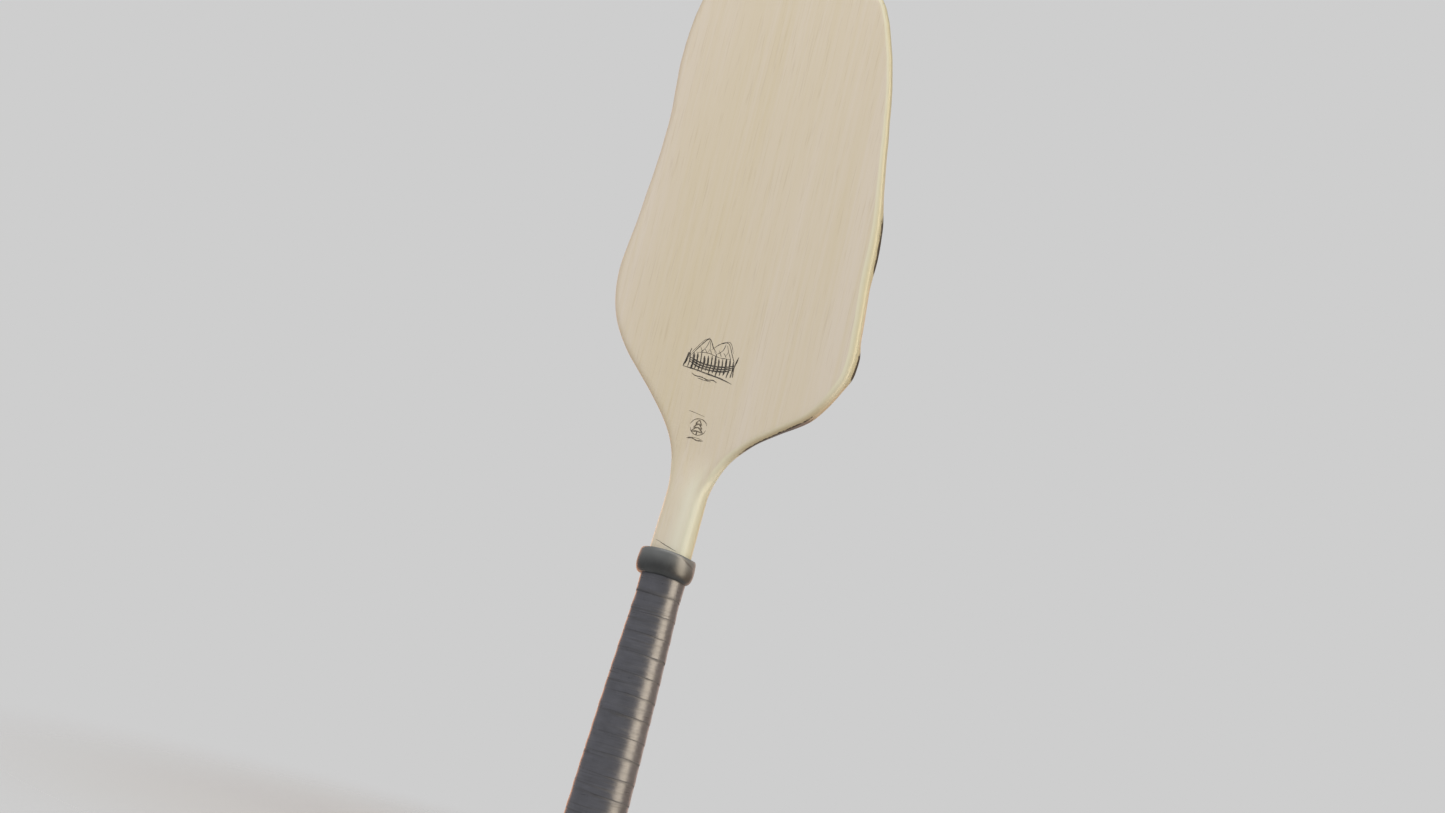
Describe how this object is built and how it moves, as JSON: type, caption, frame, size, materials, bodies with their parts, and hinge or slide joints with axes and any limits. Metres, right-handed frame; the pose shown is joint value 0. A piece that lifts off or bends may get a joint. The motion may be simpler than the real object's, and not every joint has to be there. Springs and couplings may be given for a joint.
{
  "type": "hand kayak paddle",
  "caption": "Short one-handed wooden kayak paddle: asymmetric laminated blade, oval neck, sliding rubber collar and a flared, taped grip.",
  "frame": {"origin": "on the shaft's axis in the middle of the taped grip, where the hand closes", "axes": "+Z along the shaft to the blade's tip, -Y out of the blade's front face (the face with the marks), +X to the right seen from the front"},
  "size_m": [0.1678, 0.0374, 0.6211],
  "materials": {
    "front_wood": "pale close-grained hardwood under satin varnish, grain along the shaft",
    "back_wood": "pale hardwood, a shade warmer than the front, under satin varnish",
    "core_wood": "honey-coloured hardwood strips, seen only at the edges, varnished",
    "foam": "thin closed-cell foam sleeve under the wrap",
    "grip_tape": "dark grey satin polyurethane grip tape, finely wrinkled",
    "collar_rubber": "smooth moulded black rubber, satin",
    "cap_plastic": "matte black moulded plastic",
    "screw_steel": "stainless countersunk screws"
  },
  "bodies": {
    "paddle": {"front_board": "front_wood", "back_board": "back_wood", "handle_block_front": "front_wood", "handle_block_back": "back_wood", "center_stringer": "core_wood", "blade_strip_left_inner": "core_wood", "blade_strip_left_middle": "core_wood", "blade_strip_left_outer": "core_wood", "blade_strip_right_inner": "core_wood", "blade_strip_right_middle": "core_wood", "blade_strip_right_outer": "core_wood", "grip_underlay": "foam", "grip_tape": "grip_tape", "finishing_band": "grip_tape", "butt_cap": "cap_plastic", "cap_screw_front": "screw_steel", "cap_screw_back": "screw_steel"},
    "collar": {"rubber_collar": "collar_rubber"}
  },
  "joints": [
    {"name": "collar_slide", "type": "slide", "parent": "paddle", "child": "collar", "axis": [0, 0, 1], "range_m": [0, 0.028]}
  ]
}
